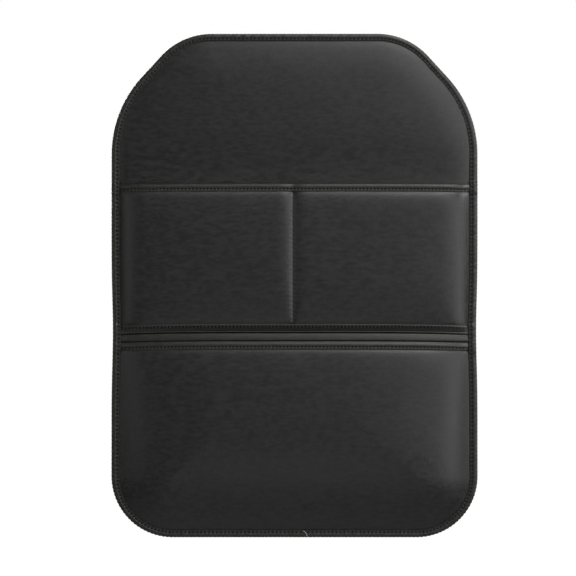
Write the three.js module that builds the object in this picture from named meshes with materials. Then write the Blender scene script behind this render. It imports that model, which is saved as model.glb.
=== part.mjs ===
// Car seat back organizer: a padded leather panel that hangs behind a front seat.
//
// Two pockets side by side sit above two full-width pockets, one behind the other.
// Every raw edge is bound in folded tape, and four webbing straps lie on the back.
//
// Millimetres, +Z up, X to the right seen from the front, and the front faces -Y.
// The origin is the centre of the headrest strap's outer face.
// A depth is measured forwards from the back of the rear lining.

import * as THREE from 'three';

// Outline of the panel
const panelHeight = 620;
const panelWidth = 450.8;
const topFlatLength = 204;
const shoulderRadius = 85;
const shoulderTurn = THREE.MathUtils.degToRad(47.4);
const sideRadius = 140;
const bottomRadius = 75.5;
const waistDraw = 1.3;
const waistReach = 55;

// Pocket places, from the panel's top edge down
const upperMouthBelowTop = 184.4;
const upperPocketHeight = 183.2;
const hemToRearMouth = 0.8;
const rearLipShows = 9.7;
const centreSeamX = -2;

// How far each line falls at its two ends, where the edge tape pulls it down
const upperMouthDrop = 0.8;
const hemDrop = 2.5;
const lowerMouthDrop = 2.3;

// Sheet thicknesses
const liningThickness = 0.8;
const coreEdgeThickness = 1.5;
const crownRise = 2.4;
const crownRun = 26;
const faceThickness = 1.2;
const pocketThickness = 3;
const boundThickness = 1.8;
const seamThickness = 1.2;
const flangeThickness = 0.9;
const flangeBoundThickness = 0.6;
const thickenRun = 4.6;

// Binding tape
const tapeThickness = 0.7;
const flangeTapeThickness = 0.4;
const pocketTapeWidth = 9.4;
const sideTapeWidth = 9.6;
const topTapeWidth = 8.4;
const shortLegBy = 2.5;
const foldReach = 2.4;

// Clearances
const layGap = 0.3;
const tuckGap = 0.4;

// Room inside the pockets: how far each sheet bows, and how far in from its sewn edges
const upperBowRise = 5.8;
const upperBowRun = 100;
const lowerBowRise = 6.5;
const lowerBowRun = 74;
const bowPower = 2.4;
const padRamp = 8.8;
const firstPanelRow = 26;
const seamHalfWidth = 1.5;
const seamRamp = 7.5;

// Straps
const strapThickness = 1.6;
const closureThickness = 0.9;
const closureLength = 90;
const closureMargin = 5;
const pullTail = 20;
const headrestStrapWidth = 30;
const headrestStrapBelowTop = 48;
const headrestAnchorX = 150;
const anchorFold = 22;
const seatStrapWidth = 38;
const seatStrapBelowTop = 500;
const strapRamp = 16;

// Facets
const cornerSegments = 7;
const shoulderSegments = 5;
const sideArcSegments = 5;
const foldSegments = 4;
const middleColumns = 10;

const halfWidth = panelWidth / 2;
const topZ = headrestStrapBelowTop;
const bottomZ = topZ - panelHeight;
const upperMouthZ = topZ - upperMouthBelowTop;
const hemZ = upperMouthZ - upperPocketHeight;
const rearMouthZ = hemZ - hemToRearMouth;
const frontMouthZ = rearMouthZ - rearLipShows;
const seatStrapZ = topZ - seatStrapBelowTop;
const cornerX = halfWidth - bottomRadius;
const cornerZ = bottomZ + bottomRadius;

// Depth levels of the stack, from the back of the lining forwards
const coreRear = liningThickness + layGap;
const faceEdgeRear = coreRear + coreEdgeThickness + layGap;
const faceEdgeFront = faceEdgeRear + faceThickness;
const flatLevel = faceEdgeFront + layGap;
const oneSheetLevel = flatLevel + flangeThickness + layGap;
const boundStack = 2 * flangeTapeThickness + flangeBoundThickness + 3 * layGap;
const stackInset = foldReach + tuckGap;
const crownStart = sideTapeWidth + tuckGap;
const strapStand = 2 * strapThickness + 2 * closureThickness + 4 * layGap;

const clamp01 = (t) => Math.min(1, Math.max(0, t));
const ramp = (value, start, length) => clamp01((value - start) / length);
const mix = THREE.MathUtils.lerp;
const toY = (depth) => -strapStand - depth;

// The outline

function sideHalfWidth(z) {
  return halfWidth - waistDraw * Math.exp(-(((z - hemZ) / waistReach) ** 2));
}

// Heights of the corner points along the straight sides, from the bottom up
function sideHeights(extra) {
  const waist = [-1.6, -0.8, 0, 0.8, 1.6].map((share) => hemZ + share * waistReach);
  const top = topZ - shoulderHeight();
  const between = [...waist, ...extra].filter((z) => z > cornerZ && z < top);
  return [cornerZ, ...between.sort((a, b) => a - b)];
}

// Height from the top edge down to where the side arc meets the straight side
function shoulderHeight() {
  const diagonalRise = diagonalLength() * Math.sin(shoulderTurn);
  const topArcRise = shoulderRadius * (1 - Math.cos(shoulderTurn));
  return topArcRise + diagonalRise + sideRadius * Math.cos(shoulderTurn);
}

function diagonalLength() {
  const arcEndX = halfWidth - sideRadius * (1 - Math.sin(shoulderTurn));
  const arcStartX = topFlatLength / 2 + shoulderRadius * Math.sin(shoulderTurn);
  return (arcEndX - arcStartX) / Math.cos(shoulderTurn);
}

// The outline's points, drawn in by an inset, as [x, z], anticlockwise seen from the front
function outlinePoints(inset, extraHeights = []) {
  const right = [];
  const arc = (cx, cz, radius, from, to, count) => {
    for (let i = 0; i <= count; i += 1) {
      const angle = mix(from, to, i / count);
      right.push([cx + radius * Math.cos(angle), cz + radius * Math.sin(angle)]);
    }
  };
  arc(cornerX, cornerZ, bottomRadius - inset, -Math.PI / 2, 0, cornerSegments);
  right.pop();
  for (const z of sideHeights(extraHeights)) right.push([sideHalfWidth(z) - inset, z]);
  const turnEnd = Math.PI / 2 - shoulderTurn;
  const sideArcZ = topZ - shoulderHeight();
  arc(halfWidth - sideRadius, sideArcZ, sideRadius - inset, 0, turnEnd, sideArcSegments);
  const shoulderZ = topZ - shoulderRadius;
  arc(topFlatLength / 2, shoulderZ, shoulderRadius - inset, turnEnd, Math.PI / 2, shoulderSegments);
  const left = right.map(([x, z]) => [-x, z]).reverse();
  return [...right, [0, topZ - inset], ...left, [0, bottomZ + inset]];
}

// Distance in from the outline, for points beside and below the pockets
function insetAt(x, z) {
  const side = Math.abs(x);
  if (side > cornerX && z < cornerZ) {
    return bottomRadius - Math.hypot(side - cornerX, z - cornerZ);
  }
  return Math.min(sideHalfWidth(z) - side, z - bottomZ);
}

// Depths of the sheets

const pillow = (distance, run) => 1 - (1 - clamp01(distance / run)) ** bowPower;
const crown = (inset) => crownRise * pillow(inset - crownStart, crownRun);
const endFall = (x) => Math.min(1, Math.abs(x) / (halfWidth - sideTapeWidth)) ** 4;
const upperMouthLine = (x) => upperMouthZ - upperMouthDrop * endFall(x);
const hemLine = (x) => hemZ - hemDrop * endFall(x);
const rearMouthLine = (x) => rearMouthZ - lowerMouthDrop * endFall(x);
const frontMouthLine = (x) => frontMouthZ - lowerMouthDrop * endFall(x);

const faceFront = (x, z) => faceEdgeFront + crown(insetAt(x, z));
const padded = (x, z) => ramp(insetAt(x, z), crownStart, padRamp);
const tapeAt = (x, z) => mix(flangeTapeThickness, tapeThickness, padded(x, z));

// A sheet stands forward by the tape's rear leg where its edge is bound
function legRaise(x, z, offset) {
  const share = 1 - ramp(offset, pocketTapeWidth - shortLegBy, shortLegBy);
  return share * (tapeAt(x, z) + layGap);
}

// Thickness of a pocket sheet at an offset from its bound edge
function sheetThickness(x, z, offset) {
  const free = ramp(offset, pocketTapeWidth, thickenRun);
  const bound = mix(flangeBoundThickness, boundThickness, padded(x, z));
  const full = mix(flangeThickness, pocketThickness, padded(x, z));
  return mix(bound, full, free);
}

const seamDistance = (x) => Math.max(0, Math.abs(x - centreSeamX) - seamHalfWidth);
const upperOffset = (x, z) => Math.min(upperMouthLine(x) - z, z - hemLine(x));

const upperPocket = {
  rear(x, z) {
    const side = pillow(Math.min(insetAt(x, z) - crownStart, seamDistance(x)), upperBowRun);
    const rise = pillow(z - hemLine(x) - pocketTapeWidth, upperBowRun);
    const bow = upperBowRise * side * rise;
    return faceFront(x, z) + layGap + bow + legRaise(x, z, upperOffset(x, z));
  },
  thickness(x, z) {
    const plain = sheetThickness(x, z, upperOffset(x, z));
    return mix(Math.min(plain, seamThickness), plain, clamp01(seamDistance(x) / seamRamp));
  },
};

const lowerBow = (x, z) => lowerBowRise * pillow(insetAt(x, z) - crownStart, lowerBowRun);

const rearPocket = {
  rear(x, z) {
    return faceFront(x, z) + layGap + lowerBow(x, z) + legRaise(x, z, rearMouthLine(x) - z);
  },
  thickness: (x, z) => sheetThickness(x, z, rearMouthLine(x) - z),
};

const frontPocket = {
  rear(x, z) {
    const behind = rearPocket.rear(x, z) + rearPocket.thickness(x, z);
    return behind + layGap + lowerBow(x, z) + legRaise(x, z, frontMouthLine(x) - z);
  },
  thickness: (x, z) => sheetThickness(x, z, frontMouthLine(x) - z),
};

// Depth of the edge tape's legs along the sides, as [height, depth] pairs from the top down

function frontLegLevels() {
  const side = halfWidth;
  const upper = upperMouthLine(side);
  const hem = hemLine(side);
  const front = frontMouthLine(side);
  return [
    [upper + thickenRun, flatLevel],
    [upper + tuckGap, flatLevel + boundStack],
    [upper - pocketTapeWidth - tuckGap, flatLevel + boundStack],
    [upper - pocketTapeWidth - thickenRun, oneSheetLevel],
    [hem + pocketTapeWidth + thickenRun, oneSheetLevel],
    [hem + pocketTapeWidth + tuckGap, flatLevel + boundStack],
    [front + tuckGap + tapeThickness, flatLevel + boundStack],
    [front + tuckGap / 2, oneSheetLevel + boundStack],
    [front - pocketTapeWidth - tuckGap, oneSheetLevel + boundStack],
    [front - pocketTapeWidth - thickenRun, oneSheetLevel + flangeThickness + layGap],
  ];
}

function rearLegLevels() {
  const high = seatStrapZ + seatStrapWidth / 2;
  const low = seatStrapZ - seatStrapWidth / 2;
  const strapped = -2 * layGap - strapThickness;
  return [
    [high + thickenRun, -layGap],
    [high + tuckGap, strapped],
    [low - tuckGap, strapped],
    [low - thickenRun, -layGap],
  ];
}

// Reads a list of [height, depth] pairs as a line between its points
function levelAt(levels, z) {
  if (z >= levels[0][0]) return levels[0][1];
  for (let i = 1; i < levels.length; i += 1) {
    const [highZ, highDepth] = levels[i - 1];
    const [lowZ, lowDepth] = levels[i];
    if (z >= lowZ) return mix(lowDepth, highDepth, (z - lowZ) / (highZ - lowZ));
  }
  return levels[levels.length - 1][1];
}

// Building closed solids

function solid(positions, triangles) {
  let volume = 0;
  const at = (i) => new THREE.Vector3(...positions[i]);
  for (const [a, b, c] of triangles) volume += at(a).dot(at(b).cross(at(c)));
  const index = triangles.flatMap(([a, b, c]) => (volume > 0 ? [a, b, c] : [a, c, b]));
  const geometry = new THREE.BufferGeometry();
  geometry.setAttribute('position', new THREE.Float32BufferAttribute(positions.flat(), 3));
  geometry.setIndex(index);
  geometry.computeVertexNormals();
  return geometry;
}

// A flat plan of triangles in x and z, whose shared points are joined
class Plan {
  constructor() {
    this.points = [];
    this.triangles = [];
    this.keys = new Map();
  }

  add([x, z]) {
    const key = `${x.toFixed(5)} ${z.toFixed(5)}`;
    if (!this.keys.has(key)) {
      this.keys.set(key, this.points.length);
      this.points.push([x, z]);
    }
    return this.keys.get(key);
  }

  // Rows of points, each row as long as the next
  grid(rows) {
    for (let r = 1; r < rows.length; r += 1) {
      for (let c = 1; c < rows[r].length; c += 1) {
        const [a, b] = [this.add(rows[r - 1][c - 1]), this.add(rows[r - 1][c])];
        const [d, e] = [this.add(rows[r][c - 1]), this.add(rows[r][c])];
        this.face(a, b, e);
        this.face(a, e, d);
      }
    }
    return this;
  }

  face(a, b, c) {
    if (a === b || b === c || a === c) return;
    const [[ax, az], [bx, bz], [cx, cz]] = [a, b, c].map((i) => this.points[i]);
    const turn = (bx - ax) * (cz - az) - (bz - az) * (cx - ax);
    this.triangles.push(turn > 0 ? [a, b, c] : [a, c, b]);
  }

  fill(ring) {
    const contour = ring.map(([x, z]) => new THREE.Vector2(x, z));
    const ids = ring.map((point) => this.add(point));
    for (const [a, b, c] of THREE.ShapeUtils.triangulateShape(contour, [])) {
      this.face(ids[a], ids[b], ids[c]);
    }
    return this;
  }

  // A sheet over the plan, between a rear surface and that surface plus a thickness
  sheet(rear, thickness) {
    const count = this.points.length;
    const back = this.points.map(([x, z]) => [x, toY(rear(x, z)), z]);
    const front = this.points.map(([x, z]) => [x, toY(rear(x, z) + thickness(x, z)), z]);
    const faces = [];
    const open = new Map();
    for (const [a, b, c] of this.triangles) {
      faces.push([a + count, b + count, c + count], [a, c, b]);
      for (const [p, q] of [[a, b], [b, c], [c, a]]) {
        if (open.has(`${q} ${p}`)) open.delete(`${q} ${p}`);
        else open.set(`${p} ${q}`, [p, q]);
      }
    }
    for (const [p, q] of open.values()) faces.push([p, q, q + count], [p, q + count, p + count]);
    return solid([...back, ...front], faces);
  }
}

// Joins equal loops of points into a tube, closed on itself or with flat ends
function sweep(loops, closed) {
  const size = loops[0].length;
  const faces = [];
  const last = closed ? loops.length : loops.length - 1;
  for (let s = 0; s < last; s += 1) {
    const next = (s + 1) % loops.length;
    for (let k = 0; k < size; k += 1) {
      const m = (k + 1) % size;
      faces.push([s * size + k, s * size + m, next * size + m]);
      faces.push([s * size + k, next * size + m, next * size + k]);
    }
  }
  if (!closed) {
    const half = size / 2;
    for (const [s, flip] of [[0, true], [loops.length - 1, false]]) {
      for (let k = 0; k < half - 1; k += 1) {
        const quad = [k, k + 1, size - 2 - k, size - 1 - k].map((i) => s * size + i);
        const [a, b, c, d] = flip ? [...quad].reverse() : quad;
        faces.push([a, b, c], [a, c, d]);
      }
    }
  }
  return solid(loops.flat(), faces);
}

// A folded tape's section as [inset, depth] pairs: outside from the front leg round the
// fold to the rear leg, and then back along the inside. Both sides have as many points.
function tapeSection({ frontWidth, rearWidth, frontFar, frontNear, frontFold, rear, tape }) {
  const fold = foldReach;
  const outFront = frontFold + tape;
  const outRear = rear - tape;
  const middle = (outFront + outRear) / 2;
  const outer = [[frontWidth, frontFar + tape], [frontWidth - shortLegBy, frontNear + tape]];
  const inner = [[frontWidth, frontFar], [frontWidth - shortLegBy, frontNear]];
  for (let i = 0; i <= foldSegments; i += 1) {
    const angle = Math.PI / 2 - (Math.PI * i) / foldSegments;
    const reach = Math.cos(angle);
    const lift = Math.sin(angle);
    outer.push([fold - fold * reach, middle + ((outFront - outRear) / 2) * lift]);
    inner.push([fold - (fold - tape) * reach, middle + ((frontFold - rear) / 2) * lift]);
  }
  outer.push([rearWidth, outRear]);
  inner.push([rearWidth, rear]);
  return [...outer, ...inner.reverse()];
}

// The sheets

const bodyInsets = [stackInset, ...[0, 0.22, 0.5, 1].map((share) => crownStart + share * crownRun)];

function bodyPlan() {
  const rings = bodyInsets.map((inset) => outlinePoints(inset));
  const plan = new Plan();
  plan.grid(rings.map((ring) => [...ring, ring[0]]));
  return plan.fill(rings[rings.length - 1]);
}

// The body sheets' depth goes by the ring that a point lies on
function bodyDepth(base) {
  const insets = new Map();
  for (const inset of bodyInsets) {
    for (const [x, z] of outlinePoints(inset)) insets.set(`${x.toFixed(5)} ${z.toFixed(5)}`, inset);
  }
  return (x, z) => base + crown(insets.get(`${x.toFixed(5)} ${z.toFixed(5)}`));
}

function rearLining() {
  const shape = new THREE.Shape(outlinePoints(stackInset).map(([x, z]) => new THREE.Vector2(x, z)));
  const plate = new THREE.ExtrudeGeometry(shape, { depth: liningThickness, bevelEnabled: false });
  return plate.rotateX(Math.PI / 2).translate(0, toY(0), 0);
}

function foamCore() {
  const front = bodyDepth(coreRear + coreEdgeThickness);
  return bodyPlan().sheet(() => coreRear, (x, z) => front(x, z) - coreRear);
}

const facePanel = () => bodyPlan().sheet(bodyDepth(faceEdgeRear), () => faceThickness);

// Columns at a height, from the left edge to the right: those near each edge, and between
function columnsAt(z, between) {
  const reach = sideHalfWidth(z);
  const near = bodyInsets.map((inset) => reach - inset);
  return [...near, ...near.map((x) => -x), ...between].sort((a, b) => a - b);
}

// The columns beside the centre seam, and those that share out each lobe
function lobeColumns() {
  const columns = [];
  for (const side of [-1, 1]) {
    const start = centreSeamX + side * seamHalfWidth;
    const edge = side * (halfWidth - waistDraw - crownStart - crownRun);
    columns.push(start, start + (side * seamRamp) / 2, start + side * seamRamp);
    for (const share of [0.2, 0.4, 0.6, 0.8]) columns.push(mix(start + side * seamRamp, edge, share));
  }
  return columns;
}

// The columns that share out a lower pocket between its two borders
function evenColumns(z) {
  const reach = sideHalfWidth(z) - crownStart - crownRun;
  const columns = [];
  for (let i = 1; i < middleColumns; i += 1) columns.push(mix(-reach, reach, i / middleColumns));
  return columns;
}

// Distances of a pocket sheet's rows from its bound edge, in to where it has its full thickness
const boundRows = [foldReach, pocketTapeWidth - shortLegBy, pocketTapeWidth, pocketTapeWidth + thickenRun];

function upperPocketPanel() {
  const deepest = boundRows[boundRows.length - 1];
  const below = (offset) => [upperMouthZ - offset, (x) => upperMouthLine(x) - offset];
  const above = (offset) => [hemZ + offset, (x) => hemLine(x) + offset];
  const between = (share) => {
    const [top, bottom] = [below(deepest), above(deepest)];
    return [mix(top[0], bottom[0], share), (x) => mix(top[1](x), bottom[1](x), share)];
  };
  const rows = [
    ...boundRows.map(below),
    ...[0.12, 0.35, 0.65, 0.88].map(between),
    ...[...boundRows].reverse().map(above),
  ];
  const plan = new Plan();
  plan.grid(rows.map(([z, line]) => columnsAt(z, lobeColumns()).map((x) => [x, line(x)])));
  return plan.sheet(upperPocket.rear, upperPocket.thickness);
}

// A lower pocket: rows from side to side, with a border of rings along its sewn edge
function lowerPocketPlan(mouthZ, mouthLine) {
  const deepest = mouthZ - cornerZ;
  const offsets = [...boundRows, firstPanelRow, ...[0.32, 0.55, 0.78, 1].map((share) => share * deepest)];
  const rowZ = (offset, x) => {
    const fade = 1 - ramp(offset, firstPanelRow, deepest - firstPanelRow);
    return mouthZ - offset + fade * (mouthLine(x) - mouthZ);
  };
  const mirror = ([x, z]) => [-x, z];
  const border = bodyInsets.map((inset) => {
    const left = offsets.map((offset) => {
      const x = inset - sideHalfWidth(mouthZ - offset);
      return [x, rowZ(offset, x)];
    });
    for (let i = 1; i < cornerSegments; i += 1) {
      const angle = Math.PI + ((Math.PI / 2) * i) / cornerSegments;
      const radius = bottomRadius - inset;
      left.push([-cornerX + radius * Math.cos(angle), cornerZ + radius * Math.sin(angle)]);
    }
    const bottom = [];
    for (let i = 0; i <= middleColumns; i += 1) {
      bottom.push([mix(-cornerX, cornerX, i / middleColumns), bottomZ + inset]);
    }
    return { left, bottom };
  });
  const { left, bottom } = border[border.length - 1];
  const rows = left.map(([x, z], r) => {
    const row = [[x, z]];
    for (let i = 1; i < middleColumns; i += 1) {
      const column = mix(x, -x, i / middleColumns);
      row.push([column, r < offsets.length ? rowZ(offsets[r], column) : z]);
    }
    return [...row, [-x, z]];
  });
  const rings = border.map((ring) => [...ring.left, ...ring.bottom, ...ring.left.map(mirror).reverse()]);
  return new Plan().grid([...rows, bottom]).grid(rings);
}

const rearPocketPanel = () => lowerPocketPlan(rearMouthZ, rearMouthLine)
  .sheet(rearPocket.rear, rearPocket.thickness);
const frontPocketPanel = () => lowerPocketPlan(frontMouthZ, frontMouthLine)
  .sheet(frontPocket.rear, frontPocket.thickness);

// The tapes

// The tape folded over the whole panel's edge
function edgeBinding() {
  const frontLevels = frontLegLevels();
  const rearLevels = rearLegLevels();
  const heights = [...frontLevels, ...rearLevels].map(([z]) => z);
  const rim = outlinePoints(0, heights);
  const inner = outlinePoints(1, heights);
  const loops = rim.map(([x, z], s) => {
    const [dx, dz] = [inner[s][0] - x, inner[s][1] - z];
    const width = mix(sideTapeWidth, topTapeWidth, ramp(z, topZ - shoulderRadius, shoulderRadius));
    const front = levelAt(frontLevels, z);
    const section = tapeSection({
      frontWidth: width,
      rearWidth: width,
      frontFar: front,
      frontNear: front,
      frontFold: front,
      rear: levelAt(rearLevels, z),
      tape: tapeThickness,
    });
    return section.map(([inset, depth]) => [x + inset * dx, toY(depth), z + inset * dz]);
  });
  return sweep(loops, true);
}

// The tape folded over a pocket sheet's mouth, or its hem, which faces up
function pocketBinding(pocket, line, columns, towards) {
  const shortLeg = pocketTapeWidth - shortLegBy;
  const loops = columns.map((x) => {
    const edge = line(x);
    const at = (offset) => edge + towards * offset;
    const front = (offset) => {
      const z = at(offset);
      return pocket.rear(x, z) + pocket.thickness(x, z) + layGap;
    };
    const section = tapeSection({
      frontWidth: pocketTapeWidth,
      rearWidth: shortLeg,
      frontFar: front(pocketTapeWidth),
      frontNear: front(shortLeg),
      frontFold: front(foldReach),
      rear: pocket.rear(x, at(foldReach)) - layGap,
      tape: tapeAt(x, edge),
    });
    return section.map(([offset, depth]) => [x, toY(depth), at(offset)]);
  });
  return sweep(loops, false);
}

// The straps

// A ribbon seen from above: a centre line in x and depth, given its thickness
function ribbon(centre, thickness, width, z) {
  const sides = [[], []];
  centre.forEach(([x, depth], i) => {
    const before = centre[Math.max(0, i - 1)];
    const after = centre[Math.min(centre.length - 1, i + 1)];
    const inward = new THREE.Vector2(x - before[0], depth - before[1]).normalize();
    const outward = new THREE.Vector2(after[0] - x, after[1] - depth).normalize();
    const along = inward.clone().add(outward).normalize();
    const stretch = 1 / Math.max(0.5, along.dot(i === 0 ? outward : inward));
    [-1, 1].forEach((side, k) => {
      const reach = side * (thickness / 2) * stretch;
      sides[k].push(new THREE.Vector2(x - along.y * reach, -(depth + along.x * reach)));
    });
  });
  const shape = new THREE.Shape([...sides[0], ...sides[1].reverse()]);
  const band = new THREE.ExtrudeGeometry(shape, { depth: width, bevelEnabled: false });
  return band.translate(0, -strapStand, z - width / 2);
}

const nearLevel = -layGap - strapThickness / 2;
const foldLevel = nearLevel - strapThickness - layGap;
const farLevel = strapThickness / 2 - strapStand;
const overlap = closureLength / 2 + closureMargin;

// The folded end that is sewn to the lining, from its tail to where the strap runs on
function anchoredEnd(side, anchorX) {
  const radius = (strapThickness + layGap) / 2;
  const turnX = anchorX - radius - strapThickness / 2;
  const middle = (nearLevel + foldLevel) / 2;
  const points = [[side * (turnX - anchorFold), nearLevel]];
  for (let i = 0; i <= foldSegments; i += 1) {
    const angle = -Math.PI / 2 + (Math.PI * i) / foldSegments;
    points.push([side * (turnX + radius * Math.cos(angle)), middle - radius * Math.sin(angle)]);
  }
  points.push([side * (turnX - anchorFold - 1), foldLevel]);
  points.push([side * (turnX - anchorFold - 1 - strapRamp / 2), nearLevel]);
  return points;
}

// The half that lies on the lining, and the half that closes over it
const nearRun = (side) => [[-side * overlap, nearLevel]];
const farRun = (side) => [
  [side * (overlap + strapRamp), nearLevel],
  [side * overlap, farLevel],
  [-side * (overlap + pullTail), farLevel],
];

function headrestStrap(side, run) {
  const centre = [...anchoredEnd(side, headrestAnchorX), ...run(side)];
  return ribbon(centre, strapThickness, headrestStrapWidth, 0);
}

function seatStrap(side, run) {
  const end = side * (sideHalfWidth(seatStrapZ) - stackInset);
  return ribbon([[end, nearLevel], ...run(side)], strapThickness, seatStrapWidth, seatStrapZ);
}

// The loop tape is sewn to the near half, and the hook tape to the far half
function closureTape(order, width, z) {
  const gapped = closureThickness + layGap;
  const level = nearLevel - strapThickness / 2 - layGap - closureThickness / 2 - order * gapped;
  const half = closureLength / 2;
  return ribbon([[-half, level], [half, level]], closureThickness, width - 2, z);
}

// Finishes

const finish = (color, roughness) => new THREE.MeshStandardMaterial({ color, roughness, metalness: 0 });
const leather = finish(0x2b2b2d, 0.5);
const tapeLeather = finish(0x33332f, 0.45);
const liningCloth = finish(0x232325, 0.95);
const foam = finish(0x4a4a4c, 0.9);
const webbing = finish(0x1b1b1d, 0.85);
const closureCloth = finish(0x151517, 1);

// The object

const organizer = new THREE.Group();

function place(name, geometry, material) {
  const mesh = new THREE.Mesh(geometry, material);
  mesh.name = name;
  organizer.add(mesh);
}

place('rear_lining', rearLining(), liningCloth);
place('foam_core', foamCore(), foam);
place('face_panel', facePanel(), leather);
place('edge_binding', edgeBinding(), tapeLeather);

const upperTape = (line, z, towards) => (
  pocketBinding(upperPocket, line, columnsAt(z, lobeColumns()), towards)
);
const lowerTape = (pocket, line, z) => pocketBinding(pocket, line, columnsAt(z, evenColumns(z)), -1);

place('upper_pocket_panel', upperPocketPanel(), leather);
place('upper_pocket_mouth_binding', upperTape(upperMouthLine, upperMouthZ, -1), tapeLeather);
place('upper_pocket_hem_binding', upperTape(hemLine, hemZ, 1), tapeLeather);

place('rear_pocket_panel', rearPocketPanel(), leather);
place('rear_pocket_mouth_binding', lowerTape(rearPocket, rearMouthLine, rearMouthZ), tapeLeather);
place('front_pocket_panel', frontPocketPanel(), leather);
place('front_pocket_mouth_binding', lowerTape(frontPocket, frontMouthLine, frontMouthZ), tapeLeather);

place('headrest_strap_left', headrestStrap(-1, nearRun), webbing);
place('headrest_strap_right', headrestStrap(1, farRun), webbing);
place('headrest_loop_tape', closureTape(0, headrestStrapWidth, 0), closureCloth);
place('headrest_hook_tape', closureTape(1, headrestStrapWidth, 0), closureCloth);
place('seat_strap_left', seatStrap(-1, nearRun), webbing);
place('seat_strap_right', seatStrap(1, farRun), webbing);
place('seat_loop_tape', closureTape(0, seatStrapWidth, seatStrapZ), closureCloth);
place('seat_hook_tape', closureTape(1, seatStrapWidth, seatStrapZ), closureCloth);

export default organizer;
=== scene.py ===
"""Car seat back organizer: a padded panel of black artificial leather that hangs behind a seat.

Lengths are in millimetres until a mesh is written, which is in metres. A depth is measured
forwards from the back of the rear lining, so a point's y is the lining's own y less its depth.
"""

import bpy
import numpy as np
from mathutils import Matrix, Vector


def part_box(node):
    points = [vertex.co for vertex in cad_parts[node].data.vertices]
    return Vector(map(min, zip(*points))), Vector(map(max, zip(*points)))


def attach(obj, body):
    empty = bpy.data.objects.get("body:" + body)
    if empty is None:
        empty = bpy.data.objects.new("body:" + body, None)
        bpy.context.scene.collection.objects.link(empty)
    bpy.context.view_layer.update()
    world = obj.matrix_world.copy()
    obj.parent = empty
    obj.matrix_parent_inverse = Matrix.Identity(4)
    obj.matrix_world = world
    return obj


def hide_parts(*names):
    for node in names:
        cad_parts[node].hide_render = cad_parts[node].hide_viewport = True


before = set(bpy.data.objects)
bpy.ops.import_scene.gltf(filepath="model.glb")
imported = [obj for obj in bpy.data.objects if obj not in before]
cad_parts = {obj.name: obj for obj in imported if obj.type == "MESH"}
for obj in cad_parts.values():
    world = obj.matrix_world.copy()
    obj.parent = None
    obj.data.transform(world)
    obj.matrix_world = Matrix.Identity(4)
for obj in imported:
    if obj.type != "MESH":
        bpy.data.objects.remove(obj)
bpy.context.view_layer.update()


# Rear lining
# Black non-woven cloth, cut to the panel's outline and sewn in behind the foam
# under the edge tape. It carries the straps.

mm = 0.001
panel_height = 620.0
half_width = 225.4
top_flat_half = 102.0
shoulder_radius = 85.0
shoulder_turn = np.radians(47.4)
side_radius = 140.0
corner_radius = 75.5
waist_draw = 1.7
waist_reach = 55.0
hem_below_top = 367.6
lining_inset = 2.8
lining_thickness = 0.8
lining_wave = 0.1
lining_wave_fade = 40.0

back_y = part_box("rear_lining")[1][1] / mm
top_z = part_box("edge_binding")[1][2] / mm
bottom_z = top_z - panel_height
hem_z = top_z - hem_below_top
corner_x, corner_z = half_width - corner_radius, bottom_z + corner_radius
lean = np.pi / 2 - shoulder_turn
diagonal_length = (
    half_width - side_radius * (1 - np.cos(lean)) - top_flat_half - shoulder_radius * np.cos(lean)
) / np.sin(lean)
side_arc_z = (
    top_z
    - shoulder_radius * (1 - np.sin(lean))
    - diagonal_length * np.cos(lean)
    - side_radius * np.sin(lean)
)


def waist(z):
    """How far the side is drawn in at a height: a bell curve round the pocket hem."""
    return waist_draw * np.exp(-(((z - hem_z) / waist_reach) ** 2))


def half_outline(from_z=None):
    """The right half of the rim as a fine line of x, z points, from the flat top's end, or from a
    height on its side, down to the flat bottom's end: shoulder arc, diagonal, side arc, straight
    side and corner arc."""

    def arc(x, z, radius, start, end):
        turn = np.linspace(start, end, 160)
        return np.stack([x + radius * np.cos(turn), z + radius * np.sin(turn)], 1)

    shoulder = arc(top_flat_half, top_z - shoulder_radius, shoulder_radius, np.pi / 2, lean)
    side_arc = arc(half_width - side_radius, side_arc_z, side_radius, lean, 0)
    whole = from_z is None
    height = np.linspace(side_arc_z if whole else from_z, corner_z, 300)[int(whole) : -1]
    side = np.stack([half_width - waist(height), height], 1)
    corner = arc(corner_x, corner_z, corner_radius, 0, -np.pi / 2)
    return np.concatenate([shoulder, side_arc, side, corner] if whole else [side, corner])


def evenly(path, count):
    """Points at equal steps of length along a line of points."""
    step = np.linalg.norm(np.diff(path, axis=0), axis=1)
    length = np.concatenate([[0], np.cumsum(step)])
    at = np.linspace(0, length[-1], count)
    return np.stack([np.interp(at, length, path[:, k]) for k in range(path.shape[1])], 1)


def inward(path):
    """Unit normals on the right-hand side of a line of x, z points."""
    tangent = np.gradient(path, axis=0)
    tangent /= np.linalg.norm(tangent, axis=1, keepdims=True)
    return np.stack([tangent[:, 1], -tangent[:, 0]], 1)


def ramp(distance, run):
    """Rises evenly from 0 at distance 0 to 1 at distance run."""
    return np.clip(distance / run, 0, 1)


def crowd(count, ends=0.6):
    """Shares from -1 to 1 that crowd towards both ends."""
    share = np.linspace(-1, 1, count)
    return (1 - ends) * share + ends * np.sin(share * np.pi / 2)


def body_grid(inset, rows, columns):
    """x and z of a sheet cut to the outline: each row joins the rim's two points at one height."""
    rim = evenly(half_outline(), rows)
    rim = rim + inset * inward(rim)
    return rim[:, :1] * crowd(columns), np.repeat(rim[:, 1:], columns, 1)


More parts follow.
